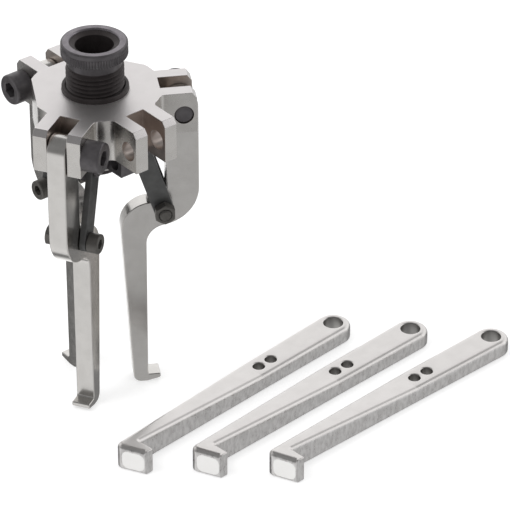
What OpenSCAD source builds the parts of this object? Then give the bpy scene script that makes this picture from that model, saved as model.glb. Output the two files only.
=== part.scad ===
// Self-centring internal gear puller with an adjusting sleeve, three S-shaped
// jaws fitted and three straight jaws lying beside it.
// Origin: on the sleeve's axis, level with the yoke's top face. +Z is up.
// Each arm is drawn in its own plane: X outward, Y tangential, Z up.

/* [Yoke] */
// Radius of the yoke's round body
disc_r = 27.5; // [26.8:0.1:29]
// Thickness of the yoke
yoke_h = 18.5; // [17.5:0.5:20]
// Radius of the ears' outer faces
ear_r = 40.4; // [40:0.2:41.4]
// Thickness of one clevis ear
ear_t = 6; // [5.4:0.1:6.4]
// Width of a clevis slot
slot_w = 8.7; // [8.5:0.1:9.2]
// Distance of the body's two flat sides from its axis
side_cut = 25; // [24.5:0.1:26]
// Radius of the fillets between clevises that are 60 degrees apart
fillet_r = 3; // [2:0.5:3.5]
// Radius at which a clevis slot ends
slot_r = 26; // [25.6:0.1:27]
// Chamfer at the ears' top outer corners: height
ear_cham_h = 2.6; // [1.5:0.1:3]
// Chamfer at the ears' top outer corners: depth
ear_cham_w = 1.9; // [1:0.1:2.5]

/* [Jaw pivots] */
// Radius of the jaw pivots
pivot_r = 35; // [34.8:0.1:35.4]
// Depth of the jaw pivots below the yoke's top face
pivot_z = 10.2; // [9.8:0.1:10.6]
// Shank diameter of the pivot screws
pivot_d = 8; // [8:0.1:8]
// Radial clearance of a part that turns on a pin
run_gap = 0.05; // [0.03:0.01:0.08]

/* [S jaws] */
// Width of an S jaw at its pivot
bar_w = 13.6; // [13:0.1:14]
// Thickness of an S jaw
jaw_t = 8; // [7.6:0.1:8.2]
// Height from the pivot to the heel of an S jaw
jaw_h = 133.8; // [133.8:0.1:133.8]
// Thickness of the hook at its tip
hook_t = 2.2; // [1.8:0.1:2.8]
// Outward position of the link screw from the jaw pivot
screw_x = -8.4; // [-8.6:0.1:-8.2]
// Height of the link screw from the jaw pivot
screw_z = -46.9; // [-47.1:0.1:-46.7]

/* [Links] */
// Width of a link
link_w = 8.4; // [8:0.1:8.8]
// Thickness of a link
link_t = 2.75; // [2.5:0.05:3]
// Side gap between a link and the jaw or the lug
link_gap = 0.25; // [0.2:0.05:0.3]
// Hole for the link screw, wide enough for the open end of the loop
open_d = 6; // [6:0.1:6.2]

/* [Spider] */
// Radius of the link pins
hub_pin_r = 17; // [16.8:0.1:17.2]
// Depth of the link pins below the yoke's top face
hub_pin_z = 27; // [26.8:0.1:27.2]
// Radius of the spider's body
hub_r = 13; // [12.5:0.1:13.1]
// Height of the spider
hub_h = 9; // [8.5:0.1:9.4]
// Radius of the spider's lug ends
lug_r = 21.6; // [21:0.1:22]

/* [Adjusting sleeve] */
// Height of the sleeve's top above the yoke
sleeve_top = 22; // [21:0.5:23]
// Diameter of the knurled head
head_d = 27.6; // [27:0.1:28.4]
// Height of the knurled head
head_h = 6.3; // [6:0.1:7]
// Thread diameter
thread_d = 24; // [24:0.1:24]
// Thread pitch
pitch = 2; // [2:0.1:2]
// Diameter of the through bore
bore_d = 16; // [15:0.5:16.5]
// Diameter of the bore's mouth
mouth_d = 20.3; // [19:0.1:21]

/* [Straight jaws] */
// Thickness of a straight jaw at its holes
flat_t = 7.4; // [7:0.1:8]
// Thickness of a straight jaw at its hook
flat_foot_t = 11.8; // [10:0.1:12.5]
// Distance from the pivot hole at which the thickness begins to grow
flat_level = 51; // [51:0.5:60]
// Half width of a straight jaw at its pivot hole
flat_r = 7.5; // [7.2:0.1:7.8]
// Diameter of a straight jaw's pivot hole
flat_bore = 8.5; // [8.4:0.1:8.8]
// Distance from the pivot hole to the hook's pulling face
flat_l = 124.8; // [120:0.2:128]
// Reach of the hook's tip from the jaw's centre line
flat_reach = 14.5; // [13.5:0.1:15]
// Distance from the pivot hole to the first link hole
flat_hole_1 = 39.4; // [38.4:0.1:40]
// Distance between the two link holes
flat_hole_gap = 7.4; // [7:0.1:7.6]

/* [Hidden] */
$fn = 64;
arm_angle = [90, 210, 330];
empty_angle = 270;
cut_angle = [30, 150];
clevis_w = slot_w + 2 * ear_t;
// Centre of a corner fillet, set to bite slightly into the body and the ear
bite = 0.03;
fillet_y = clevis_w / 2 + fillet_r - bite;
fillet_x = sqrt(pow(disc_r + fillet_r - bite, 2) - fillet_y * fillet_y);
fillet_k = disc_r / (disc_r + fillet_r - bite);
bush_d = 27.6;
bush_flange_d = 34;
bush_flange_h = 3;
bush_up = 2;
floor_z = -pivot_z - jaw_h;
shoulder_z = -21.4;
journal_d = 20;
sleeve_end_z = -36;
ring_z = -hub_pin_z - hub_h / 2;
link_in = jaw_t / 2 + link_gap;
link_out = link_in + link_t;
screw_r = pivot_r + screw_x;
screw_down = pivot_z - screw_z;
m5 = 5;
// Where each straight jaw's pivot hole stands, and the way its hook points
flat_at = [[97.8, -36.8], [120.8, -61.5], [143.9, -88.1]];
flat_angle = [187, 185.5, 183.6];

function arc(c, r, a0, a1, n) =
  [for (i = [0:n]) [c[0] + r * cos(a0 + (a1 - a0) * i / n),
                    c[1] + r * sin(a0 + (a1 - a0) * i / n)]];

// Turns the arm plane to an arm's angle
module at_arm(a) { rotate([0, 0, a]) children(); }

// Stands a profile drawn in X and Z upright, centred on the arm plane
module upright(t, y = 0) {
  translate([0, y, 0]) rotate([90, 0, 0]) linear_extrude(height = t, center = true) children();
}

// A cylinder along the tangential direction, from y0 to y1
module cross_cyl(x, z, d, y0, y1, f = 64) {
  translate([x, y1, z]) rotate([90, 0, 0]) cylinder(d = d, h = y1 - y0, $fn = f);
}

// ---- Yoke -----------------------------------------------------------------

// Rounds the inner corner between the body and the left side of an ear
module corner_fillet() {
  polygon(concat([[fillet_x * fillet_k - 1, clevis_w / 2 - 1], [fillet_x, clevis_w / 2 - 1]],
    arc([fillet_x, fillet_y], fillet_r, 270, 180 + atan2(fillet_y, fillet_x), 8)));
}

// The same for the right side of an ear
module corner_fillet_right() {
  polygon(concat([[fillet_x, 1 - clevis_w / 2], [fillet_x * fillet_k - 1, 1 - clevis_w / 2]],
    arc([fillet_x, -fillet_y], fillet_r, 180 - atan2(fillet_y, fillet_x), 90, 8)));
}

// Plan of the yoke: the body with two flat sides and the four slotted clevises
module yoke_plan() {
  angles = concat(arm_angle, [empty_angle]);
  difference() {
    union() {
      difference() {
        circle(r = disc_r, $fn = 96);
        for (a = cut_angle) rotate(a) translate([side_cut, -disc_r]) square([disc_r, 2 * disc_r]);
      }
      for (a = angles) rotate(a) translate([0, -clevis_w / 2]) square([ear_r, clevis_w]);
      for (a = [arm_angle[1], empty_angle]) rotate(a) corner_fillet();
      for (a = [empty_angle, arm_angle[2]]) rotate(a) corner_fillet_right();
    }
    for (a = angles) rotate(a) translate([slot_r, -slot_w / 2]) square([ear_r, slot_w]);
    circle(d = bush_d, $fn = 96);
  }
}

// What one clevis loses: the chamfer of its ears and the pivot hole
module clevis_cut() {
  upright(2 * clevis_w)
    polygon([[ear_r - ear_cham_w, 0], [ear_r - ear_cham_w, 1], [ear_r + 1, 1],
             [ear_r + 1, -ear_cham_h], [ear_r, -ear_cham_h]]);
  cross_cyl(pivot_r, -pivot_z, pivot_d + 2 * run_gap, -clevis_w, clevis_w);
}

module yoke() {
  color("silver") difference() {
    translate([0, 0, -yoke_h]) linear_extrude(height = yoke_h) yoke_plan();
    for (a = arm_angle) at_arm(a) clevis_cut();
    at_arm(empty_angle) clevis_cut();
    translate([0, 0, -yoke_h - 1]) cylinder(d = bush_flange_d, h = bush_flange_h + 1, $fn = 96);
  }
}

// The bush is pressed in from below; its upper end stands above the yoke
module threaded_bush() {
  color("dimgray") rotate_extrude($fn = 96)
    polygon([[thread_d / 2 + run_gap, -yoke_h],
             [bush_flange_d / 2, -yoke_h],
             [bush_flange_d / 2, -yoke_h + bush_flange_h],
             [bush_d / 2, -yoke_h + bush_flange_h],
             [bush_d / 2, bush_up - 0.5],
             [bush_d / 2 - 0.5, bush_up],
             [thread_d / 2 + run_gap + 0.4, bush_up],
             [thread_d / 2 + run_gap, bush_up - 0.4]]);
}

module pivot_screw() {
  difference() {
    union() {
      cross_cyl(pivot_r, -pivot_z, pivot_d, -clevis_w / 2 + 0.5, clevis_w / 2 + 0.5);
      cross_cyl(pivot_r, -pivot_z, 13, clevis_w / 2 + 0.02, clevis_w / 2 + 8);
    }
    cross_cyl(pivot_r, -pivot_z, 6.93, clevis_w / 2 + 4, clevis_w / 2 + 9, 6);
  }
}

module pivot_screw_1() { color("black") at_arm(arm_angle[0]) pivot_screw(); }
module pivot_screw_2() { color("black") at_arm(arm_angle[1]) pivot_screw(); }
module pivot_screw_3() { color("black") at_arm(arm_angle[2]) pivot_screw(); }

// ---- Adjusting sleeve and spider --------------------------------------------

// Ring grooves stand for the thread's turns, cut from just below the neck
module thread_grooves() {
  depth = 1.1;
  for (i = [0:14])
    translate([0, 0, 10 - i * pitch])
      rotate_extrude($fn = 72)
        polygon([[thread_d / 2 - depth, 0], [thread_d / 2 + 0.5, -0.9],
                 [thread_d / 2 + 0.5, 0.9]]);
}

module adjusting_sleeve() {
  neck_z = sleeve_top - head_h;
  color("dimgray") difference() {
    rotate_extrude($fn = 96)
      polygon([[bore_d / 2, sleeve_end_z],
               [journal_d / 2 - 0.6 - run_gap, sleeve_end_z],
               [journal_d / 2 - run_gap, sleeve_end_z + 0.6],
               [journal_d / 2 - run_gap, ring_z - 1.45],
               [journal_d / 2 - 0.9, ring_z - 1.45],
               [journal_d / 2 - 0.9, ring_z - 0.1],
               [journal_d / 2 - run_gap, ring_z - 0.1],
               [journal_d / 2 - run_gap, shoulder_z],
               [thread_d / 2 - 0.8, shoulder_z],
               [thread_d / 2, shoulder_z + 0.8],
               [thread_d / 2, 11],
               [thread_d / 2 - 0.8, 11.8],
               [thread_d / 2 - 0.8, neck_z - 0.8],
               [thread_d / 2 - 0.3, neck_z],
               [head_d / 2 - 0.5, neck_z],
               [head_d / 2, neck_z + 0.5],
               [head_d / 2, sleeve_top - 0.6],
               [head_d / 2 - 0.6, sleeve_top],
               [mouth_d / 2, sleeve_top],
               [bore_d / 2, sleeve_top - 1.8]]);
    thread_grooves();
  }
}

module thrust_washer() {
  color("gray") translate([0, 0, shoulder_z - 1.05]) difference() {
    cylinder(d = 24, h = 1);
    translate([0, 0, -1]) cylinder(d = journal_d + 0.1, h = 3);
  }
}

module retaining_ring() {
  color("gray") translate([0, 0, ring_z - 1.4]) difference() {
    cylinder(d = 23.6, h = 1.2);
    translate([0, 0, -1]) cylinder(d = journal_d - 1.8 + 0.02, h = 3);
    translate([0, -1.5, -1]) cube([15, 3, 3]);
  }
}

// Plan of the spider: a ring and four square lugs, one between each pair of links
module spider_plan() {
  difference() {
    union() {
      circle(r = hub_r, $fn = 96);
      for (a = concat(arm_angle, [empty_angle]))
        rotate(a) translate([0, -jaw_t / 2]) square([lug_r, jaw_t]);
    }
    circle(d = journal_d, $fn = 96);
  }
}

module spider() {
  color("dimgray") difference() {
    translate([0, 0, -hub_pin_z - hub_h / 2]) linear_extrude(height = hub_h) spider_plan();
    for (a = concat(arm_angle, [empty_angle]))
      at_arm(a) cross_cyl(hub_pin_r, -hub_pin_z, m5 + 0.04, -jaw_t, jaw_t);
  }
}

module hub_pin() {
  cross_cyl(hub_pin_r, -hub_pin_z, m5, -link_out - 0.5, link_out + 0.5);
  cross_cyl(hub_pin_r, -hub_pin_z, 7.6, link_out + 0.2, link_out + 1.6);
  cross_cyl(hub_pin_r, -hub_pin_z, 7.6, -link_out - 1.6, -link_out - 0.2);
}

module hub_pin_1() { color("black") at_arm(arm_angle[0]) hub_pin(); }
module hub_pin_2() { color("black") at_arm(arm_angle[1]) hub_pin(); }
module hub_pin_3() { color("black") at_arm(arm_angle[2]) hub_pin(); }

// ---- Links and their screws -------------------------------------------------

module link(side) {
  way = atan2(hub_pin_z - screw_down, screw_r - hub_pin_r);
  y0 = side * (link_in + link_out) / 2;
  difference() {
    upright(link_t, y0)
      polygon(concat(
        arc([screw_r, -screw_down], link_w / 2, way - 90, way + 90, 14),
        arc([hub_pin_r, -hub_pin_z], link_w / 2, way + 90, way + 270, 14)));
    cross_cyl(hub_pin_r, -hub_pin_z, m5 + 2 * run_gap, y0 - link_t, y0 + link_t);
    cross_cyl(screw_r, -screw_down, open_d, y0 - link_t, y0 + link_t);
  }
}

module link_1a() { color("dimgray") at_arm(arm_angle[0]) link(1); }
module link_1b() { color("dimgray") at_arm(arm_angle[0]) link(-1); }
module link_2a() { color("dimgray") at_arm(arm_angle[1]) link(1); }
module link_2b() { color("dimgray") at_arm(arm_angle[1]) link(-1); }
module link_3a() { color("dimgray") at_arm(arm_angle[2]) link(1); }
module link_3b() { color("dimgray") at_arm(arm_angle[2]) link(-1); }

module link_screw() {
  difference() {
    union() {
      cross_cyl(screw_r, -screw_down, m5, -link_out - 5, link_out + 0.7);
      cross_cyl(screw_r, -screw_down, 8.5, link_out + 0.2, link_out + 5.2);
    }
    cross_cyl(screw_r, -screw_down, 4.62, link_out + 2.7, link_out + 6, 6);
  }
}

module link_nut() {
  difference() {
    cross_cyl(screw_r, -screw_down, 9.24, -link_out - 4.2, -link_out - 0.2, 6);
    cross_cyl(screw_r, -screw_down, m5 + 0.04, -link_out - 6, -link_out + 1);
  }
}

module link_screw_1() { color("black") at_arm(arm_angle[0]) link_screw(); }
module link_screw_2() { color("black") at_arm(arm_angle[1]) link_screw(); }
module link_screw_3() { color("black") at_arm(arm_angle[2]) link_screw(); }
module link_nut_1() { color("black") at_arm(arm_angle[0]) link_nut(); }
module link_nut_2() { color("black") at_arm(arm_angle[1]) link_nut(); }
module link_nut_3() { color("black") at_arm(arm_angle[2]) link_nut(); }

// ---- Jaws -------------------------------------------------------------------

// Outline of an S jaw about its pivot: the bar, the elbow inward, the leg
// that tapers down, and the hook that points outward
module s_outline() {
  half = bar_w / 2;
  polygon(concat(
    [[half, 0], [-half, 0]],
    arc([-half - 8.2, -36.4], 8.2, 0, -90, 8),
    arc([-13.5, -57.1], 12.6, 98, 183, 12),
    arc([-18.8, -jaw_h + 3.4], 3.4, 183, 270, 5),
    [[-16.2, -jaw_h], [-11.2, -jaw_h + 1.2], [-10.6, -jaw_h + 1.7],
     [-10.6, -jaw_h + 1.2 + hook_t], [-15.2, -jaw_h + 1.2 + hook_t],
     [-16.05, -jaw_h + 2 + hook_t]],
    arc([-7, -64.5], 8.6, 180, 97.8, 7),
    arc([-10.5, -38.8], 17.3, -82.2, 0, 12)));
}

module s_jaw() {
  translate([pivot_r, 0, -pivot_z]) difference() {
    union() {
      upright(jaw_t) s_outline();
      cross_cyl(0, 0, bar_w, -jaw_t / 2, jaw_t / 2);
    }
    cross_cyl(0, 0, pivot_d + 2 * run_gap, -jaw_t, jaw_t);
    cross_cyl(screw_x, screw_z, m5 + 0.04, -jaw_t, jaw_t);
  }
}

module s_jaw_1() { color("lightgray") at_arm(arm_angle[0]) s_jaw(); }
module s_jaw_2() { color("lightgray") at_arm(arm_angle[1]) s_jaw(); }
module s_jaw_3() { color("lightgray") at_arm(arm_angle[2]) s_jaw(); }

// Plan of a straight jaw: pivot at the origin, leg along X, hook to Y, sloping end face
module flat_plan() {
  polygon(concat(
    [[0, flat_r], [0, -flat_r], [flat_level - 1, 0.9 - flat_r]],
    arc([flat_l + 5.3, 3.35], 3, -85, 20.3, 6),
    [[flat_l + 4.6, flat_reach - 0.6], [flat_l + 4, flat_reach], [flat_l, flat_reach],
     [flat_l, flat_r], [flat_l - 1, flat_r - 1]]));
}

// Side view of a straight jaw: level at the holes, then thicker towards the hook
module flat_side() {
  far = flat_l + 10;
  polygon([[-flat_r - 1, 0], [far, 0], [far, flat_foot_t], [flat_level, flat_t], [-flat_r - 1, flat_t]]);
}

module straight_jaw() {
  difference() {
    union() {
      cylinder(r = flat_r, h = flat_t);
      intersection() {
        linear_extrude(height = flat_foot_t + 1) flat_plan();
        upright(4 * flat_reach) flat_side();
      }
    }
    translate([0, 0, -1]) cylinder(d = flat_bore, h = flat_t + 2);
    for (x = [flat_hole_1, flat_hole_1 + flat_hole_gap])
      translate([x, 0, -1]) cylinder(d = 5.2, h = flat_t + 2);
  }
}

module flat_place(i) {
  translate([flat_at[i][0], flat_at[i][1], floor_z]) rotate([0, 0, flat_angle[i]]) straight_jaw();
}

module straight_jaw_1() { color("gainsboro") flat_place(0); }
module straight_jaw_2() { color("gainsboro") flat_place(1); }
module straight_jaw_3() { color("gainsboro") flat_place(2); }

yoke();
threaded_bush();
adjusting_sleeve();
thrust_washer();
spider();
retaining_ring();
s_jaw_1();
s_jaw_2();
s_jaw_3();
pivot_screw_1();
pivot_screw_2();
pivot_screw_3();
link_1a();
link_1b();
link_2a();
link_2b();
link_3a();
link_3b();
hub_pin_1();
hub_pin_2();
hub_pin_3();
link_screw_1();
link_screw_2();
link_screw_3();
link_nut_1();
link_nut_2();
link_nut_3();
straight_jaw_1();
straight_jaw_2();
straight_jaw_3();
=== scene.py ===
"""Looks of the gear puller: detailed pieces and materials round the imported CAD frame."""
import math

import bmesh
import bpy
from mathutils import Matrix, Vector


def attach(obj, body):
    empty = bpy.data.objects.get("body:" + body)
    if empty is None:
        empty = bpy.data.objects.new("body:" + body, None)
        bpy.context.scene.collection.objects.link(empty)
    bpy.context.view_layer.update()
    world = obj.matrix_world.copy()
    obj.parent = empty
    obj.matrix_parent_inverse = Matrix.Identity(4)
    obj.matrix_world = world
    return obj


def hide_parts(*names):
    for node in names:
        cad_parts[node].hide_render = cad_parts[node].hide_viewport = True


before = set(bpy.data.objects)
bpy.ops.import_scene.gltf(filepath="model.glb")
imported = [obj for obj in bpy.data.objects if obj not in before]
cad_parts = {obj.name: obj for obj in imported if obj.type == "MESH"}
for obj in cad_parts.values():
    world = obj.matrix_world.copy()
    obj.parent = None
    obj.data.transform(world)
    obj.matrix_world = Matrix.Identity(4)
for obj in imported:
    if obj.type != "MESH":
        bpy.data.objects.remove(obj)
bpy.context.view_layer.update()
scene = bpy.context.scene

MM = 0.001
ARMS = (90, 210, 330)
PIVOT = (35.0, -10.2)          # jaw pivot in an arm's plane: radius, height
LINK_SCREW = (26.6, -57.1)
HUB_PIN = (17.0, -27.0)
FLOOR_Z = -144.0
SHARP = math.radians(32)       # edges with a greater turn than this are shaded as sharp
UPRIGHT = 0.2                  # the greatest Z of a normal that counts as an upright face


# ---- Materials ---------------------------------------------------------------

def nodes_of(name):
    """A new material with its node tree and its shader."""
    mat = bpy.data.materials.new(name)
    mat.use_nodes = True
    tree = mat.node_tree
    shader = tree.nodes["Principled BSDF"]
    return mat, tree, shader


def link(tree, a, out, b, into):
    """Joins the output of node a to the input of node b, both by name."""
    tree.links.new(a.outputs[out], b.inputs[into])


def noise(tree, scale, detail=3.0, rough=0.55, stretch=None):
    """Noise in the piece's own coordinates, in metres; scale is in features a metre."""
    coord = tree.nodes.new("ShaderNodeTexCoord")
    tex = tree.nodes.new("ShaderNodeTexNoise")
    tex.inputs["Scale"].default_value = scale
    tex.inputs["Detail"].default_value = detail
    tex.inputs["Roughness"].default_value = rough
    if stretch:
        mapping = tree.nodes.new("ShaderNodeMapping")
        mapping.inputs["Scale"].default_value = stretch
        link(tree, coord, "Object", mapping, "Vector")
        link(tree, mapping, "Vector", tex, "Vector")
    else:
        link(tree, coord, "Object", tex, "Vector")
    return tex


def spread(tree, tex, low, high, start=0.3, end=0.7):
    """Maps a noise from its middle range to low..high."""
    ranged = tree.nodes.new("ShaderNodeMapRange")
    ranged.inputs["From Min"].default_value = start
    ranged.inputs["From Max"].default_value = end
    ranged.inputs["To Min"].default_value = low
    ranged.inputs["To Max"].default_value = high
    link(tree, tex, "Fac", ranged, "Value")
    return ranged


def two_tone(tree, tex, dark, light, start=0.35, end=0.65):
    """Colours a noise from dark to light between start and end."""
    ramp = tree.nodes.new("ShaderNodeValToRGB")
    ramp.color_ramp.elements[0].position = start
    ramp.color_ramp.elements[0].color = (*dark, 1)
    ramp.color_ramp.elements[1].position = end
    ramp.color_ramp.elements[1].color = (*light, 1)
    link(tree, tex, "Fac", ramp, "Fac")
    return ramp


def bumps(tree, shader, layers):
    """Chains bump nodes: (texture, strength, depth in metres)."""
    last = None
    for tex, strength, depth in layers:
        bump = tree.nodes.new("ShaderNodeBump")
        bump.inputs["Strength"].default_value = strength
        bump.inputs["Distance"].default_value = depth
        link(tree, tex, "Fac", bump, "Height")
        if last:
            link(tree, last, "Normal", bump, "Normal")
        last = bump
    link(tree, last, "Normal", shader, "Normal")


def facing_up(tree, start, end):
    """0 to 1 as the Z of a face's normal goes from start to end."""
    geometry = tree.nodes.new("ShaderNodeNewGeometry")
    split = tree.nodes.new("ShaderNodeSeparateXYZ")
    link(tree, geometry, "Normal", split, "Vector")
    level = tree.nodes.new("ShaderNodeMapRange")
    level.inputs["From Min"].default_value = start
    level.inputs["From Max"].default_value = end
    link(tree, split, "Z", level, "Value")
    return level


GRAIN_DEPTH = 0.00004          # height of the finest grain, in metres
PIT_DEPTH = 0.0004             # height of the pits of a forged skin, in metres


def metal(name, dark, light, rough, patch=150, grain=2600, strength=0.12, shine=1.0, ground=None):
    """A plated or blackened metal: patchy tone, patchy roughness and a fine grain. Its level faces
    are ground to another roughness if ground is set."""
    mat, tree, shader = nodes_of(name)
    shader.inputs["Metallic"].default_value = shine
    wide = noise(tree, patch)
    fine = noise(tree, grain, 2.0)
    tone = two_tone(tree, wide, dark, light)
    link(tree, tone, "Color", shader, "Base Color")
    gloss = spread(tree, noise(tree, patch * 2.3), rough[0], rough[1])
    if ground:
        level = facing_up(tree, 0.97, 0.995)
        mixed = tree.nodes.new("ShaderNodeMix")
        link(tree, level, "Result", mixed, "Factor")
        tree.links.new(gloss.outputs["Result"], mixed.inputs["A"])
        mixed.inputs["B"].default_value = ground
        tree.links.new(mixed.outputs["Result"], shader.inputs["Roughness"])
    else:
        link(tree, gloss, "Result", shader, "Roughness")
    bumps(tree, shader, [(fine, strength, GRAIN_DEPTH)])
    return mat


def forged(name):
    """Nickel over a forged skin: smooth ground faces above, pitted and mottled sides."""
    top_rough, side_rough = 0.33, (0.24, 0.46)
    mat, tree, shader = nodes_of(name)
    shader.inputs["Metallic"].default_value = 1.0
    side = facing_up(tree, 0.75, 0.35)
    pits = noise(tree, 620, 4.0, 0.62, (1, 1, 0.45))
    grain = noise(tree, 2400, 2.0)
    tone = two_tone(tree, pits, (0.62, 0.605, 0.595), (0.85, 0.835, 0.825), 0.36, 0.62)
    plain = two_tone(tree, noise(tree, 160), (0.79, 0.765, 0.75), (0.83, 0.805, 0.79))
    mixed = tree.nodes.new("ShaderNodeMix")
    mixed.data_type = "RGBA"
    link(tree, side, "Result", mixed, "Factor")
    tree.links.new(plain.outputs["Color"], mixed.inputs["A"])
    tree.links.new(tone.outputs["Color"], mixed.inputs["B"])
    tree.links.new(mixed.outputs["Result"], shader.inputs["Base Color"])
    gloss = spread(tree, pits, *side_rough)
    rough = tree.nodes.new("ShaderNodeMix")
    link(tree, side, "Result", rough, "Factor")
    rough.inputs["A"].default_value = top_rough
    tree.links.new(gloss.outputs["Result"], rough.inputs["B"])
    tree.links.new(rough.outputs["Result"], shader.inputs["Roughness"])
    deep = tree.nodes.new("ShaderNodeMath")
    deep.operation = "MULTIPLY"
    tree.links.new(pits.outputs["Fac"], deep.inputs[0])
    tree.links.new(side.outputs["Result"], deep.inputs[1])
    first = tree.nodes.new("ShaderNodeBump")
    first.inputs["Strength"].default_value = 0.38
    first.inputs["Distance"].default_value = PIT_DEPTH
    tree.links.new(deep.outputs["Value"], first.inputs["Height"])
    second = tree.nodes.new("ShaderNodeBump")
    second.inputs["Strength"].default_value = 0.12
    second.inputs["Distance"].default_value = GRAIN_DEPTH
    link(tree, grain, "Fac", second, "Height")
    link(tree, first, "Normal", second, "Normal")
    link(tree, second, "Normal", shader, "Normal")
    return mat


# Each has its darkest and lightest colour, its roughness from least to greatest and, for some, how
# many patches of tone lie in a metre
NICKEL = metal("satin_nickel_plate", (0.86, 0.83, 0.825), (0.885, 0.855, 0.85), (0.17, 0.24),
               ground=0.43)
# The yoke's nickel made darker for its upright faces: painted shade
SHADED_NICKEL_SIDES = metal("nickel_sides_painted_shade", (0.645, 0.625, 0.60), (0.70, 0.68, 0.655), (0.25, 0.31),
                    strength=0.07)
# Slot walls and pivot holes: painted shade, browned as by light bounced between the walls
SLOT_SHADE = metal("slot_walls_painted_shade", (0.52, 0.455, 0.42), (0.61, 0.545, 0.505), (0.28, 0.36))
JAW_NICKEL = metal("satin_nickel_jaws", (0.74, 0.72, 0.695), (0.79, 0.77, 0.745), (0.18, 0.25))
FORGED = forged("forged_nickel_skin")
BLACK = metal("black_oxide_skin", (0.085, 0.079, 0.083), (0.115, 0.108, 0.113), (0.30, 0.42),
              patch=260, shine=0.6)
# Oiled black of the thread and collar; in the sleeve's bore the same dark colour is painted shade
OILED_BLACK_AND_BORE_SHADE = metal("oiled_black_and_painted_bore_shade", (0.045, 0.038, 0.038), (0.058, 0.050, 0.050),
                     (0.42, 0.52), patch=260, shine=0.6)
WORN_BLACK = metal("worn_black_oxide", (0.10, 0.095, 0.088), (0.135, 0.128, 0.119), (0.32, 0.44),
                   patch=260, shine=0.6)
LINK_STEEL = metal("blued_link_steel", (0.107, 0.107, 0.106), (0.137, 0.138, 0.136), (0.36, 0.48),
                   patch=220, shine=0.8)
# A lighter black for the sleeve's top rim: painted sheen
RIM_SHEEN = metal("black_rim_painted_sheen", (0.20, 0.185, 0.20), (0.27, 0.25, 0.27), (0.26, 0.34),
                 patch=260, shine=0.85)
GROUND_END = metal("ground_jaw_ends", (0.90, 0.89, 0.875), (0.93, 0.92, 0.905), (0.30, 0.38),
                   strength=0.0, shine=0.4)
# A dark grey for the walls of the straight jaws' holes: painted shade
HOLE_SHADE = metal("hole_walls_painted_shade", (0.38, 0.37, 0.36), (0.46, 0.45, 0.435), (0.32, 0.42))
BARE = metal("bare_ground_steel", (0.50, 0.49, 0.47), (0.60, 0.585, 0.57), (0.25, 0.36))


# ---- Mesh building -------------------------------------------------------------

def finish_mesh(bm, name, matrix=None):
    """Turns a bmesh into a mesh with its normals outwards and its sharp edges marked."""
    bmesh.ops.remove_doubles(bm, verts=bm.verts, dist=1e-7)
    bmesh.ops.dissolve_degenerate(bm, edges=bm.edges, dist=1e-8)
    bmesh.ops.recalc_face_normals(bm, faces=bm.faces)
    if matrix is not None:
        bmesh.ops.transform(bm, matrix=matrix, verts=bm.verts)
    mesh = bpy.data.meshes.new(name)
    bm.to_mesh(mesh)
    bm.free()
    mesh.shade_smooth()
    mesh.set_sharp_from_angle(angle=SHARP)
    return mesh


def piece(name, mesh, material, body, stands_for, matrix=None):
    """Places a mesh as a piece in the row frame that rides on a body."""
    if matrix is not None:
        mesh = mesh.copy()
        mesh.transform(matrix)
    mesh.materials.clear()
    mesh.materials.append(material)
    obj = bpy.data.objects.new(name, mesh)
    scene.collection.objects.link(obj)
    modifier = obj.modifiers.new("normals", "WEIGHTED_NORMAL")
    modifier.keep_sharp = True
    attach(obj, body)
    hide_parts(*stands_for)
    return obj


def arc(cx, cy, r, a0, a1, step=4.0):
    """Points of an arc about (cx, cy) from angle a0 to a1 in degrees, about one for each step."""
    n = max(2, round(abs(a1 - a0) / step))
    return [(cx + r * math.cos(math.radians(a0 + (a1 - a0) * i / n)),
             cy + r * math.sin(math.radians(a0 + (a1 - a0) * i / n))) for i in range(n + 1)]


def tidy(points):
    """Drops points that repeat the one before."""
    kept = []
    for p in points:
        if not kept or math.dist(p, kept[-1]) > 1e-3:
            kept.append(p)
    if math.dist(kept[0], kept[-1]) < 1e-3:
        kept.pop()
    return kept


def area(points):
    """Area inside a closed loop: above 0 if it runs anticlockwise."""
    return sum(p[0] * q[1] - q[0] * p[1] for p, q in zip(points, points[1:] + points[:1])) / 2


def inset(points, depths):
    """Moves each point of a closed loop by its own depth to the left, which is the material's side."""
    out = []
    n = len(points)
    for i in range(n):
        a, b, c = points[i - 1], points[i], points[(i + 1) % n]
        e1 = Vector((b[0] - a[0], b[1] - a[1])).normalized()
        e2 = Vector((c[0] - b[0], c[1] - b[1])).normalized()
        n1, n2 = Vector((-e1.y, e1.x)), Vector((-e2.y, e2.x))
        m = (n1 + n2) / max(0.25, 1 + n1.dot(n2))
        out.append((b[0] + m.x * depths[i], b[1] + m.y * depths[i]))
    return out


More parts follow.
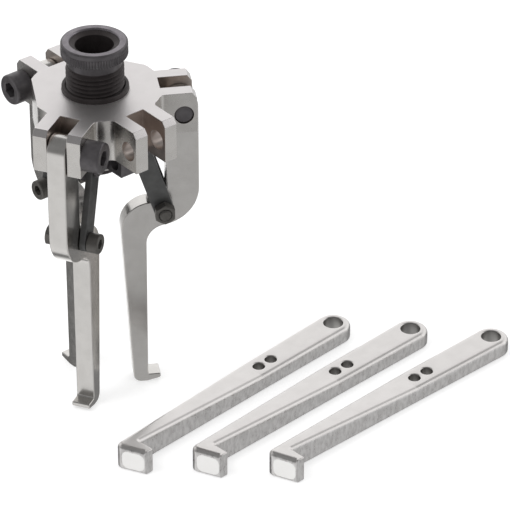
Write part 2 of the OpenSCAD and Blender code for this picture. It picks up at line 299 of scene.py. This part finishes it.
def plate(outline, holes, thick, edge, hole_edge=0.3, steps=3, flat=False, low_edge=None):
    """A plate with rounded edges, as a bmesh. It lies in X and Z and is centred on Y, or lies flat
    in X and Y and stands on Z 0 if flat is set. Holes are loops or (x, y, radius). The outer
    edge's radius may be a function of the place, and low_edge limits it on the lower side."""
    outer = tidy(outline)
    if area(outer) < 0:
        outer.reverse()
    loops = [(outer, edge)]
    for hole in holes:
        ring = hole if isinstance(hole, list) else arc(*hole, 0, 360, 6)
        ring = tidy(ring)
        if area(ring) > 0:
            ring.reverse()
        loops.append((ring, hole_edge))
    bm = bmesh.new()
    caps = {1: [], -1: []}
    for ring, r in loops:
        rows = []
        for side in (-1, 1):
            order = range(steps, -1, -1) if side < 0 else range(steps + 1)
            sizes = [r(*p) if callable(r) else r for p in ring]
            if low_edge and side < 0 and ring is outer:
                sizes = [min(low_edge, size) for size in sizes]
            for k in order:
                turn = math.radians(90 * k / steps)
                moved = inset(ring, [size * (1 - math.cos(turn)) for size in sizes])
                levels = [side * (thick / 2 - size + size * math.sin(turn)) for size in sizes]
                rows.append([bm.verts.new(Vector((x, y, z)) * MM)
                             for (x, y), z in zip(moved, levels)])
        n = len(ring)
        for a, b in zip(rows, rows[1:]):
            for i in range(n):
                bm.faces.new((a[i], a[(i + 1) % n], b[(i + 1) % n], b[i]))
        for side, row in ((-1, rows[0]), (1, rows[-1])):
            caps[side] += [bm.edges.get((row[i], row[(i + 1) % n])) for i in range(n)]
    for side in (-1, 1):
        bmesh.ops.triangle_fill(bm, use_beauty=True, edges=caps[side])
    if flat:
        bmesh.ops.translate(bm, verts=bm.verts, vec=(0, 0, thick / 2 * MM))
    else:
        bmesh.ops.transform(bm, matrix=Matrix.Rotation(math.radians(90), 4, "X"), verts=bm.verts)
    return bm


def strip(bm, rows, closed=False):
    """Faces between rows of vertices, each a closed ring. The last row joins the first if closed."""
    pairs = list(zip(rows, rows[1:])) + ([(rows[-1], rows[0])] if closed else [])
    for a, b in pairs:
        n = len(a)
        for i in range(n):
            j = (i + 1) % n
            corners = []
            for v in (a[i], a[j], b[j], b[i]):
                if v not in corners:
                    corners.append(v)
            if len(corners) > 2:
                bm.faces.new(corners)


def ring(bm, r, z, n):
    """A ring of vertices; r may be a function of the angle in degrees."""
    row = []
    for i in range(n):
        t = 360 * i / n
        radius = r(t) if callable(r) else r
        row.append(bm.verts.new(Vector((radius * math.cos(math.radians(t)),
                                        radius * math.sin(math.radians(t)), z)) * MM))
    return row


def dot(bm, z, n):
    """A ring that is all one point, on the axis."""
    v = bm.verts.new((0, 0, z * MM))
    return [v] * n


def lathe(profile, n=96, closed=True):
    """Turns (radius, height) points about Z. A radius of 0 closes the end."""
    bm = bmesh.new()
    rows = [ring(bm, r, z, n) if r else dot(bm, z, n) for r, z in profile]
    strip(bm, rows, closed)
    return bm


def fillet(r0, z0, r1, z1, bulge=1, steps=3):
    """Points of a quarter turn from (r0, z0) to (r1, z1). It leaves along the axis if bulge is 1,
    and across it if not."""
    points = []
    for k in range(steps + 1):
        t = math.radians(90 * k / steps)
        if bulge > 0:
            points.append((r1 + (r0 - r1) * math.cos(t), z0 + (z1 - z0) * math.sin(t)))
        else:
            points.append((r0 + (r1 - r0) * math.sin(t), z1 + (z0 - z1) * math.cos(t)))
    return points


def hexagon(flats):
    """Radius of a hexagon at an angle, corners at 30 degrees and every 60 after it."""
    return lambda t: flats / 2 / math.cos(math.radians((t + 30) % 60 - 30))


ALONG_Y = Matrix.Rotation(math.radians(-90), 4, "X")


def across(point):
    """Sets a part turned about Z across an arm's plane, with its axis through point."""
    return Matrix.Translation(Vector((point[0], 0, point[1])) * MM) @ ALONG_Y


# One turn of a thread as (part of the pitch, part of the depth): crest, flank, root
THREAD_FORM = ((0.0, 0.0), (0.13, 0.0), (0.52, 1.0), (0.62, 1.0))


def threads(bm, lo, hi, major, depth, pitch, n, end_r, run=0.8):
    """A helical thread from lo to hi that runs out to the radius end_r over its last run at both
    ends. Gives its first and last rings, which are plain."""
    turns = math.ceil((hi - lo) / pitch) + 2
    rows = []
    for k in range(turns):
        for at, deep in THREAD_FORM:
            row = []
            for i in range(n):
                z = lo - pitch + pitch * (k + at + i / n)
                z = min(max(z, lo), hi)
                r = major - depth * deep
                near = min(1.0, (z - lo) / run, (hi - z) / run)
                near = max(0.0, near)
                r = end_r + (r - end_r) * near * near * (3 - 2 * near)
                t = 2 * math.pi * i / n
                row.append(bm.verts.new(Vector((r * math.cos(t), r * math.sin(t), z)) * MM))
            rows.append(row)
    step = len(THREAD_FORM)
    for q in range(len(rows) - 1):
        for i in range(n - 1):
            bm.faces.new((rows[q][i], rows[q][i + 1], rows[q + 1][i + 1], rows[q + 1][i]))
        if q + step + 1 < len(rows):
            bm.faces.new((rows[q][n - 1], rows[q + step][0],
                          rows[q + step + 1][0], rows[q + 1][n - 1]))
    return rows[0], rows[-1]


def from_cad(node, edge, steps=2):
    """A copy of a CAD node's mesh with its flat faces joined and its edges rounded."""
    bm = bmesh.new()
    bm.from_mesh(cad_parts[node].data)
    bmesh.ops.remove_doubles(bm, verts=bm.verts, dist=1e-6)
    bmesh.ops.dissolve_limit(bm, angle_limit=math.radians(0.6), verts=bm.verts, edges=bm.edges)
    bmesh.ops.recalc_face_normals(bm, faces=bm.faces)
    sharp = [e for e in bm.edges if len(e.link_faces) == 2 and e.calc_face_angle() > SHARP]
    bmesh.ops.bevel(bm, geom=sharp, offset=edge * MM, offset_type="OFFSET", segments=steps,
                    profile=0.5, affect="EDGES", clamp_overlap=True)
    return finish_mesh(bm, node)


# ---- Yoke and bush ---------------------------------------------------------------

YOKE_CLEVISES = (*ARMS, 270)
# Limits a little outside a clevis slot's walls, a pivot hole's wall and a clevis's sides
SLOT_HALF, SLOT_END = 4.4, 25.8
PIVOT_WALL = 4.3
EAR_HALF = 12.0


def takes_recess_shade(spot, normal):
    """Whether a face at a spot in mm is on a clevis slot's wall or end, or in a pivot hole, where the
    yoke gets painted shade.
    """
    for angle in YOKE_CLEVISES:
        t = math.radians(angle)
        along = spot.x * math.cos(t) + spot.y * math.sin(t)
        off = abs(spot.y * math.cos(t) - spot.x * math.sin(t))
        if abs(normal.z) < UPRIGHT and along > SLOT_END and off < SLOT_HALF:
            return True
        across_ear = abs(normal.y * math.cos(t) - normal.x * math.sin(t))
        by_pivot = math.dist((along, spot.z), PIVOT) < PIVOT_WALL
        if across_ear < 0.5 and by_pivot and off < EAR_HALF:
            return True
    return False


yoke = piece("yoke_body", from_cad("yoke", edge=0.45, steps=3), NICKEL, "frame", ["yoke"])
yoke.data.materials.append(SLOT_SHADE)
yoke.data.materials.append(SHADED_NICKEL_SIDES)
# slot walls and pivot holes get the painted shade, other upright faces the darker nickel
for face in yoke.data.polygons:
    if takes_recess_shade(face.center / MM, face.normal):
        face.material_index = 1
    # upright faces get the darker nickel: painted shade
    elif abs(face.normal.z) < UPRIGHT:
        face.material_index = 2

# Radius and height of the flange in the yoke's underside and of the barrel up through it
bush = lathe([(12.05, -18.1), (12.45, -18.5), (16.6, -18.5), (17.0, -18.1), (17.0, -15.5),
              (13.8, -15.5)] + fillet(13.8, 1.5, 13.3, 2.0) + [(12.5, 2.0), (12.05, 1.6)])
piece("bush_collar", finish_mesh(bush, "bush"), OILED_BLACK_AND_BORE_SHADE, "frame", ["threaded_bush"])


# ---- Screws, pins and nuts ---------------------------------------------------------

def socket_screw(d, end, under, top, head_d, flats, deep, threaded=0.0):
    """A socket head cap screw about Z. The shank's end and the head's underside and top are heights,
    flats and deep are the socket's size, and threaded is the thread's length from the end."""
    n = 96
    bm = bmesh.new()
    r, h, c = d / 2, head_d / 2, 0.10 * d
    if threaded:
        run = 0.45
        first, last = threads(bm, end + 0.1, end + threaded, major=r - 0.01, depth=0.46, pitch=0.8,
                              n=n, end_r=r - 0.42, run=run)
        strip(bm, [dot(bm, end, n), ring(bm, r - 0.75, end, n), first])
        strip(bm, [last, ring(bm, r, end + threaded + run, n), ring(bm, r, under, n)])
    else:
        strip(bm, [dot(bm, end, n), ring(bm, r - 0.5, end, n), ring(bm, r, end + 0.5, n),
                   ring(bm, r, under, n)])
    profile = [(r, under), (h - 0.25, under), (h, under + 0.25)]
    profile += fillet(h, top - c * 1.3, h - c * 1.1, top, steps=4)
    rows = [ring(bm, a, z, n) for a, z in profile]
    corner = flats / 2 / math.cos(math.radians(30))
    rows += [ring(bm, corner + 0.28, top, n), ring(bm, corner - 0.12, top - 0.32, n)]
    strip(bm, rows)
    mouth = ring(bm, hexagon(flats), top - 0.34, n)
    socket_floor = ring(bm, hexagon(flats), top - deep, n)
    strip(bm, [rows[-1], mouth, socket_floor, ring(bm, flats * 0.22, top - deep - 0.35, n),
               dot(bm, top - deep - 0.6, n)])
    return finish_mesh(bm, "socket_screw")


def nut(low, high, flats, hole):
    """A hexagon nut from low to high, chamfered at its hole and, by a cone, at both ends."""
    n = 96
    chamfer = 0.4
    bm = bmesh.new()
    shape = hexagon(flats)
    cone = flats / 2 * 0.97
    slope = math.tan(math.radians(30))

    def end(level, way):
        """The ring where the end cone meets the flats."""
        row = []
        for i in range(n):
            t = 360 * i / n
            r = shape(t)
            z = level - way * (r - cone) * slope
            a = math.radians(t)
            row.append(bm.verts.new(Vector((r * math.cos(a), r * math.sin(a), z)) * MM))
        return row

    rows = [ring(bm, hole, low + chamfer, n), ring(bm, hole + chamfer, low, n),
            ring(bm, cone, low, n), end(low, -1),
            end(high, 1), ring(bm, cone, high, n),
            ring(bm, hole + chamfer, high, n), ring(bm, hole, high - chamfer, n)]
    strip(bm, rows, closed=True)
    return finish_mesh(bm, "hex_nut")


def pin_profile():
    """Radius and height along a hub pin: a riveted head at both ends of a plain shank."""
    shank, head, flat_end, under, swell, end = 2.5, 3.8, 2.9, 7.2, 8.0, 8.6
    return ([(0, -end)]
            + fillet(flat_end, -end, head, -swell, -1)
            + [(head, -under - 0.1), (head - 0.1, -under), (shank, -under)]
            + [(shank, under), (head - 0.1, under), (head, under + 0.1)]
            + fillet(head, swell, flat_end, end)
            + [(0, end)])


pivot_mesh = socket_screw(d=8, end=-9.85, under=10.37, top=18.35, head_d=13, flats=6, deep=4)
screw_mesh = socket_screw(d=5, end=-12.0, under=7.2, top=12.2, head_d=8.5, flats=4, deep=2.5,
                          threaded=5.2)
nut_mesh = nut(low=-11.2, high=-7.2, flats=8, hole=2.5)
pin_mesh = finish_mesh(lathe(pin_profile(), 64, closed=False), "pin")


# ---- Links -----------------------------------------------------------------------

LINK_R, LINK_T = 4.2, 2.75     # radius of a link bar's ends and its thickness
LINK_ASIDE = 5.625             # distance of a link bar's middle from the arm's plane
LINK_HOLES = [(*HUB_PIN, 2.55), (*LINK_SCREW, 3.0)]


def link_outline():
    """Outline of a link bar: two round ends joined by straight sides."""
    dx, dz = LINK_SCREW[0] - HUB_PIN[0], LINK_SCREW[1] - HUB_PIN[1]
    way = math.degrees(math.atan2(dz, dx))
    return (arc(*LINK_SCREW, LINK_R, way - 90, way + 90, 5)
            + arc(*HUB_PIN, LINK_R, way + 90, way + 270, 5))


link_mesh = finish_mesh(plate(link_outline(), LINK_HOLES, LINK_T, edge=0.35, hole_edge=0.2), "link")


# ---- Jaws ------------------------------------------------------------------------

JAW_T, JAW_HALF = 8.0, 6.8     # thickness of an S jaw and half its width at the pivot
JAW_HOLES = [(0, 0, 4.05), (-8.4, -46.9, 2.52)]
HEEL_Z = -133.8                # the jaw's lowest level


def s_outline():
    """Outline of an S jaw about its pivot: over the round top, down the inner side and the leg,
    round the heel and the hook, and back up the outer side. X points outward."""
    heel, elbow_r, outer_r = HEEL_Z, 8.2, 17.3
    return (arc(0, 0, JAW_HALF, 0, 180, 5)
            + arc(-JAW_HALF - elbow_r, -36.4, elbow_r, 0, -90, 5)
            + arc(-13.5, -57.1, 12.6, 98, 183, 4)
            + arc(-18.8, heel + 3.4, 3.4, 183, 270, 9)
            + [(-16.2, heel), (-11.5, heel + 1.12)]
            + arc(-11.3, heel + 1.9, 0.7, -75, 0, 15)
            + arc(-11.1, heel + 2.9, 0.5, 0, 90, 18)
            + [(-15.2, heel + 3.4), (-15.7, heel + 3.7), (-15.95, heel + 4.2)]
            + arc(-7.0, -64.5, 8.6, 180, 97.8, 5)
            + arc(JAW_HALF - outer_r, -38.8, outer_r, -82.2, 0, 4))


jaw_mesh = finish_mesh(plate(s_outline(), JAW_HOLES, JAW_T, edge=0.45, hole_edge=0.3), "s_jaw",
                       Matrix.Translation(Vector((PIVOT[0], 0, PIVOT[1])) * MM))

for k, angle in enumerate(ARMS, 1):
    turn = Matrix.Rotation(math.radians(angle), 4, "Z")
    jaw, side = f"jaw_{k}", f"link_{k}"
    piece(f"pivot_cap_screw_{k}", pivot_mesh, BLACK, "frame", [f"pivot_screw_{k}"],
          turn @ across(PIVOT))
    piece(f"link_cap_screw_{k}", screw_mesh, WORN_BLACK, jaw, [f"link_screw_{k}"],
          turn @ across(LINK_SCREW))
    piece(f"hex_nut_{k}", nut_mesh, WORN_BLACK, jaw, [f"link_nut_{k}"],
          turn @ across(LINK_SCREW))
    piece(f"riveted_pin_{k}", pin_mesh, BLACK, "spider", [f"hub_pin_{k}"],
          turn @ across(HUB_PIN))
    piece(f"curved_jaw_{k}", jaw_mesh, JAW_NICKEL, jaw, [f"s_jaw_{k}"], turn)
    for letter, way in (("a", 1), ("b", -1)):
        piece(f"link_bar_{k}{letter}", link_mesh, LINK_STEEL, side, [f"link_{k}{letter}"],
              turn @ Matrix.Translation((0, way * LINK_ASIDE * MM, 0)))


# ---- Spider, washer and ring -----------------------------------------------------

piece("spider_hub", from_cad("spider", edge=0.25), BLACK, "spider", ["spider"])
washer = lathe([(10.05, -22.25), (10.25, -22.45), (11.8, -22.45), (12.0, -22.25), (12.0, -21.65),
                (11.8, -21.45), (10.25, -21.45), (10.05, -21.65)])
piece("washer_disc", finish_mesh(washer, "washer"), BARE, "spider", ["thrust_washer"])
piece("snap_ring", from_cad("retaining_ring", edge=0.12), BARE, "sleeve", ["retaining_ring"])


# ---- Adjusting sleeve --------------------------------------------------------------

THREAD_TO = 12.5               # height at which the thread's oiled surface ends
BORE_WALL = 10.14              # just inside the mouth of the countersunk bore
RIM_FROM, RIM_R = 21.2, 13.1   # the lighter rim, a painted sheen: the height it starts from and its outer radius
HEAD_R, HEAD_TOP = 13.8, 22.0  # radius of the knurled head and the height of its top


def sleeve_mesh():
    """The sleeve: journal, helical thread, neck, knurled head and countersunk bore."""
    n, teeth, deep = 288, 72, 0.42

    def knurled(r):
        """Radius by angle of a ring with straight knurling cut into it."""
        def radius(t):
            part = (t * teeth / 360) % 1
            return r - deep * abs(2 * part - 1)
        return radius

    bm = bmesh.new()
    journal, groove, neck = 9.95, 9.1, 11.2
    thread_lo, thread_hi = -21.4, 11.8
    first, last = threads(bm, thread_lo, thread_hi, major=12.0, depth=1.1, pitch=2.0, n=n, end_r=neck)
    # Each profile is radius and height, in order from the lower end up the outside to the bore
    low = [(9.35, -36), (journal, -35.4), (journal, -32.95), (groove, -32.95), (groove, -31.6),
           (journal, -31.6), (journal, thread_lo)]
    high = [(neck, thread_hi), (neck, 14.9), (11.3, 15.4), (11.7, 15.7), (13.1, 15.7), (13.34, 15.8)]
    knurl = [(13.7, 16.15), (HEAD_R, 16.4), (HEAD_R, 19.3)]
    top = ([(13.7, 19.75), (HEAD_R, 19.9)]
           + fillet(HEAD_R, RIM_FROM, 13.0, HEAD_TOP, steps=4)
           + arc(10.95, RIM_FROM, 0.8, 90, 180, 18)
           + [(8.0, 20.2), (8.0, -35.7)])
    start = ring(bm, 8.3, -36, n)
    rows = [start] + [ring(bm, r, z, n) for r, z in low] + [first]
    strip(bm, rows)
    rows = [last] + [ring(bm, r, z, n) for r, z in high]
    rows += [ring(bm, knurled(r), z, n) for r, z in knurl]
    rows += [ring(bm, r, z, n) for r, z in top] + [start]
    strip(bm, rows)
    return finish_mesh(bm, "sleeve")


sleeve = piece("threaded_sleeve", sleeve_mesh(), BLACK, "sleeve", ["adjusting_sleeve"])
sleeve.data.materials.append(OILED_BLACK_AND_BORE_SHADE)
sleeve.data.materials.append(RIM_SHEEN)
for face in sleeve.data.polygons:
    from_axis = math.hypot(face.center.x, face.center.y)
    on_rim = face.center.z > RIM_FROM * MM and face.normal.z > 0.1
    # the thread is oiled black; the bore and countersink get the same dark colour as painted shade
    if face.center.z < THREAD_TO * MM or from_axis < BORE_WALL * MM:
        face.material_index = 1
    # the rim round the bore mouth gets the lighter black: painted sheen
    elif on_rim and from_axis < RIM_R * MM:
        face.material_index = 2


# ---- Straight jaws -------------------------------------------------------------------

STRAIGHT_T, FOOT_T = 7.4, 11.8   # thickness at the holes and at the hook's end
LEVEL_TO, FOOT_AT = 51.0, 134.8  # where the thickness begins to grow and where it is greatest
PULL_AT, REACH = 124.8, 14.5     # the hook's pulling face and its tip
PULL_ROOT = (7.9, 1.4)           # the pulling face's root fillet: its centre's place in Y, its radius
STRAIGHT_HOLES = [(0, 0, 4.25), (39.4, 0, 2.6), (46.8, 0, 2.6)]
# Place of each jaw's pivot hole and the jaw's turn in degrees
STRAIGHT_PLACES = ((97.8, -36.8, 187), (120.8, -61.5, 185.5), (143.9, -88.1, 183.6))
EDGE_WIDE, EDGE_SMALL = 2.2, 0.55  # greatest and least radius of the upper outer edge
TIP_RUN = 0.66                   # the edge grows from least to greatest over this much of Y at the tip
EDGE_LOW = 1.2                   # greatest radius of the lower outer edge
END_TURN = 20.15                 # direction of the sloping end face, in degrees from X
END_CORNER = 2.6                 # corner radius of the ground patch on the end face
END_AREA = 20.0                  # least area of that patch in square mm


def straight_outline():
    """A straight jaw about its pivot hole: leg along X, hook towards Y, sloping end face."""
    return (arc(0, 0, 7.49, 90, 270, 5)
            + [(LEVEL_TO, -6.6)]
            + arc(PULL_AT + 5.3, 3.35, 3.0, -85, 20.3, 9)
            + arc(PULL_AT + 3.55, REACH - 1.0, 1.0, 20, 90, 14)
            + arc(PULL_AT + 0.6, REACH - 0.6, 0.6, 90, 180, 18)
            + [(PULL_AT, 8.3)]
            + arc(PULL_AT - PULL_ROOT[1], *PULL_ROOT, 0, -85, 17)
            + [(LEVEL_TO, 6.98)])


def end_way(angle):
    """The direction an end face looks in, for a jaw turned by an angle in degrees."""
    turned = math.radians(angle + END_TURN)
    return Vector((math.cos(turned), math.sin(turned), 0))


def round_corners(bm):
    """Rounds the corners of the end face within its own plane: two points more for each corner, all
    three moved on to the arc."""
    bm.normal_update()
    way = end_way(0)
    flat_faces = [f for f in bm.faces if abs(f.normal.dot(way)) > 0.999]
    end = max(flat_faces, key=lambda f: f.calc_area())
    near, far = 1 - math.cos(math.radians(22.5)), 1 - math.sin(math.radians(22.5))
    middle = 1 - math.cos(math.radians(45))
    d = END_CORNER * MM
    for corner in list(end.verts):
        edges = [e for e in end.edges if corner in e.verts]
        ways = [(e.other_vert(corner).co - corner.co).normalized() for e in edges]
        moved = []
        for edge, along, aside in zip(edges, ways, reversed(ways)):
            _, tangent = bmesh.utils.edge_split(edge, corner, d / edge.calc_length())
            _, between = bmesh.utils.edge_split(bm.edges.get((corner, tangent)), corner, far)
            moved.append((between, corner.co + along * d * far + aside * d * near))
        corner.co += (ways[0] + ways[1]) * d * middle
        for v, co in moved:
            v.co = co


def straight_edge(x, y):
    """Radius of the upper outer edge at a place: wide, but small at the hook's tip and along its
    pulling face."""
    if x > PULL_AT + 1:
        part = (REACH - y) / TIP_RUN
    elif x > PULL_AT - 1.5:
        part = (PULL_ROOT[0] - y) / PULL_ROOT[1]
    else:
        part = 1.0
    return EDGE_SMALL + (EDGE_WIDE - EDGE_SMALL) * min(1.0, max(0.0, part))


def straight_mesh():
    """The jaw as a plate whose top rises from the holes towards the hook."""
    bm = plate(straight_outline(), STRAIGHT_HOLES, STRAIGHT_T, edge=straight_edge,
               hole_edge=EDGE_SMALL, steps=6, flat=True, low_edge=EDGE_LOW)
    bmesh.ops.bisect_plane(bm, geom=bm.verts[:] + bm.edges[:] + bm.faces[:], dist=1e-7,
                           plane_co=(LEVEL_TO * MM, 0, 0), plane_no=(1, 0, 0))
    slope = (FOOT_T - STRAIGHT_T) / (FOOT_AT - LEVEL_TO)
    for v in bm.verts:
        if v.co.z > STRAIGHT_T / 2 * MM:
            v.co.z += max(0.0, v.co.x - LEVEL_TO * MM) * slope
    round_corners(bm)
    return finish_mesh(bm, "straight_jaw")


def in_hole(spot):
    """Whether a spot in mm, in a straight jaw's own frame, is on a hole's wall."""
    return any(math.dist(spot.xy, (x, y)) < r + 0.1 for x, y, r in STRAIGHT_HOLES)


flat_mesh = straight_mesh()
for k, (x, y, angle) in enumerate(STRAIGHT_PLACES, 1):
    place = (Matrix.Translation(Vector((x, y, FLOOR_Z)) * MM)
             @ Matrix.Rotation(math.radians(angle), 4, "Z"))
    jaw = piece(f"spare_jaw_{k}", flat_mesh, FORGED, f"straight_{k}", [f"straight_jaw_{k}"],
                place)
    jaw.data.materials.append(GROUND_END)
    jaw.data.materials.append(HOLE_SHADE)
    out = end_way(angle)
    back = place.inverted()
    for face in jaw.data.polygons:
        at = (back @ face.center) / MM
        if face.normal.dot(out) > 0.985 and face.area > END_AREA * MM * MM:
            face.material_index = 1
        # hole walls get the dark grey: painted shade
        elif abs(face.normal.z) < 0.8 and in_hole(at):
            face.material_index = 2


# ---- Floor, light and camera ---------------------------------------------------------

FLOOR_HALF = 4.0               # half the floor's width, in metres
FLOOR_DROP = 0.00002           # how far the floor lies below the straight jaws, in metres
FLOOR_TONE, FLOOR_GLOW = 0.66, 0.50
EVEN_LIGHT = 0.80              # strength of the even white light
CAMERA_TURN = 39               # degrees that bring the camera's right to azimuth 0
RISE = (-0.22, 0.18)           # the Z of a direction at which the lower cards give way to the upper
OVERHEAD = (0.68, 0.80)        # and the Z at which the upper ones give way to the dim ceiling
CEILING = 0.18                 # brightness of the ceiling
AIM = (0.04, -0.03, -0.08)     # the point that both softboxes face
CAMERA_AT = (-0.7683, -1.0463, 0.7432)
CAMERA_BACK = (-0.533, -0.6544, 0.5364)  # from the object towards the camera
SENSOR, LENS = 36.0, 258.56


def floor():
    """A plain pale floor just under the straight jaws, which metal doesn't mirror."""
    mesh = bpy.data.meshes.new("floor")
    half = FLOOR_HALF
    mesh.from_pydata([(-half, -half, 0), (half, -half, 0), (half, half, 0), (-half, half, 0)],
                     [], [(0, 1, 2, 3)])
    obj = bpy.data.objects.new("floor", mesh)
    obj.location = (0, 0, FLOOR_Z * MM - FLOOR_DROP)
    scene.collection.objects.link(obj)
    mat, tree, shader = nodes_of("white_floor")
    shader.inputs["Base Color"].default_value = (FLOOR_TONE, FLOOR_TONE, FLOOR_TONE, 1)
    shader.inputs["Roughness"].default_value = 0.9
    shader.inputs["Specular IOR Level"].default_value = 0.0
    shader.inputs["Emission Color"].default_value = (1, 1, 1, 1)
    shader.inputs["Emission Strength"].default_value = FLOOR_GLOW
    mesh.materials.append(mat)
    obj.visible_glossy = False


def ramp_of(tree, stops, value, out):
    """Brightness by place along a smooth ramp; stops are (place, brightness)."""
    ramp = tree.nodes.new("ShaderNodeValToRGB")
    ramp.color_ramp.interpolation = "EASE"
    elements = ramp.color_ramp.elements
    while len(elements) > 1:
        elements.remove(elements[-1])
    elements[0].position = stops[0][0]
    elements[0].color = (*[stops[0][1]] * 3, 1)
    for at, level in stops[1:]:
        made = elements.new(at)
        made.color = (level, level, level, 1)
    tree.links.new(value.outputs[out], ramp.inputs["Fac"])
    return ramp


def math_node(tree, operation, *inputs):
    """A maths node whose inputs are numbers or the outputs of other nodes."""
    made = tree.nodes.new("ShaderNodeMath")
    made.operation = operation
    for i, value in enumerate(inputs):
        if isinstance(value, (int, float)):
            made.inputs[i].default_value = value
        else:
            tree.links.new(value, made.inputs[i])
    return made


def smooth_step(tree, value, start, end):
    """0 to 1, smoothly, as an output goes from start to end."""
    made = tree.nodes.new("ShaderNodeMapRange")
    made.interpolation_type = "SMOOTHSTEP"
    made.inputs["From Min"].default_value = start
    made.inputs["From Max"].default_value = end
    tree.links.new(value, made.inputs["Value"])
    return made


def studio():
    """A soft white room. What the metal mirrors is brighter or darker by direction, as cards and
    softboxes round the object make it; everything else gets even white light."""
    world = bpy.data.worlds.new("studio")
    scene.world = world
    world.use_nodes = True
    tree = world.node_tree
    out = tree.nodes["World Output"]
    plain = tree.nodes["Background"]
    plain.inputs["Color"].default_value = (1, 1, 1, 1)
    plain.inputs["Strength"].default_value = EVEN_LIGHT
    coord = tree.nodes.new("ShaderNodeTexCoord")
    split = tree.nodes.new("ShaderNodeSeparateXYZ")
    tree.links.new(coord.outputs["Generated"], split.inputs["Vector"])
    turn = math_node(tree, "ARCTAN2", split.outputs["Y"], split.outputs["X"])
    # Azimuth as seen from the camera's side: 0 to the right, 0.25 away, 0.5 left, 0.75 towards it
    turned = math_node(tree, "ADD", turn.outputs[0], math.radians(CAMERA_TURN))
    turns = math_node(tree, "DIVIDE", turned.outputs[0], 2 * math.pi)
    wrapped = math_node(tree, "FRACT", turns.outputs[0])
    below = ramp_of(tree, LOWER, wrapped, 0)
    above = ramp_of(tree, UPPER, wrapped, 0)
    rise = smooth_step(tree, split.outputs["Z"], *RISE)
    mixed = tree.nodes.new("ShaderNodeMix")
    mixed.data_type = "RGBA"
    tree.links.new(rise.outputs["Result"], mixed.inputs["Factor"])
    tree.links.new(below.outputs["Color"], mixed.inputs["A"])
    tree.links.new(above.outputs["Color"], mixed.inputs["B"])
    over = smooth_step(tree, split.outputs["Z"], *OVERHEAD)
    topped = tree.nodes.new("ShaderNodeMix")
    topped.data_type = "RGBA"
    tree.links.new(over.outputs["Result"], topped.inputs["Factor"])
    tree.links.new(mixed.outputs["Result"], topped.inputs["A"])
    topped.inputs["B"].default_value = (CEILING, CEILING, CEILING, 1)
    mirrored = tree.nodes.new("ShaderNodeBackground")
    tree.links.new(topped.outputs["Result"], mirrored.inputs["Color"])
    path = tree.nodes.new("ShaderNodeLightPath")
    choose = tree.nodes.new("ShaderNodeMixShader")
    tree.links.new(path.outputs["Is Glossy Ray"], choose.inputs["Fac"])
    tree.links.new(plain.outputs["Background"], choose.inputs[1])
    tree.links.new(mirrored.outputs["Background"], choose.inputs[2])
    tree.links.new(choose.outputs["Shader"], out.inputs["Surface"])


# Brightness of the lower and upper halves by azimuth, in turns from the camera's right
LOWER = [(0.0, 0.52), (0.07, 0.32), (0.12, 0.18), (0.20, 0.60), (0.28, 1.20), (0.34, 0.60),
         (0.385, 0.14), (0.47, 0.14), (0.505, 0.90), (0.56, 0.84), (0.61, 0.74), (0.68, 0.74),
         (0.73, 0.60), (0.786, 0.44), (0.88, 0.50), (0.953, 0.65), (1.0, 0.52)]
UPPER = [(0.0, 1.15), (0.03, 1.15), (0.08, 0.95), (0.20, 0.99), (0.30, 0.99), (0.40, 0.80),
         (0.52, 0.40), (0.60, 0.20), (0.78, 0.14), (0.945, 0.17), (0.975, 1.05), (1.0, 1.15)]


def softbox(name, at, size, power):
    """A square lamp that faces the object and that metal doesn't mirror."""
    lamp = bpy.data.lights.new(name, "AREA")
    lamp.size = size
    lamp.energy = power
    obj = bpy.data.objects.new(name, lamp)
    obj.location = at
    obj.rotation_mode = "QUATERNION"
    obj.rotation_quaternion = (Vector(at) - Vector(AIM)).to_track_quat("Z", "Y")
    obj.visible_glossy = False
    scene.collection.objects.link(obj)


def camera():
    """A long lens that looks down at the object from the side of -X and -Y."""
    data = bpy.data.cameras.new("camera")
    data.sensor_width = SENSOR
    data.lens = LENS
    data.clip_start = 0.05
    data.clip_end = 30
    obj = bpy.data.objects.new("camera", data)
    obj.location = CAMERA_AT
    obj.rotation_mode = "QUATERNION"
    obj.rotation_quaternion = Vector(CAMERA_BACK).to_track_quat("Z", "Y")
    scene.collection.objects.link(obj)
    scene.camera = obj


floor()
studio()
softbox("key", at=(-0.9, 0.25, 1.3), size=0.8, power=7)
softbox("fill", at=(1.2, 0.6, 1.2), size=1.0, power=4)
camera()
scene.view_settings.view_transform = "Standard"
scene.view_settings.look = "None"
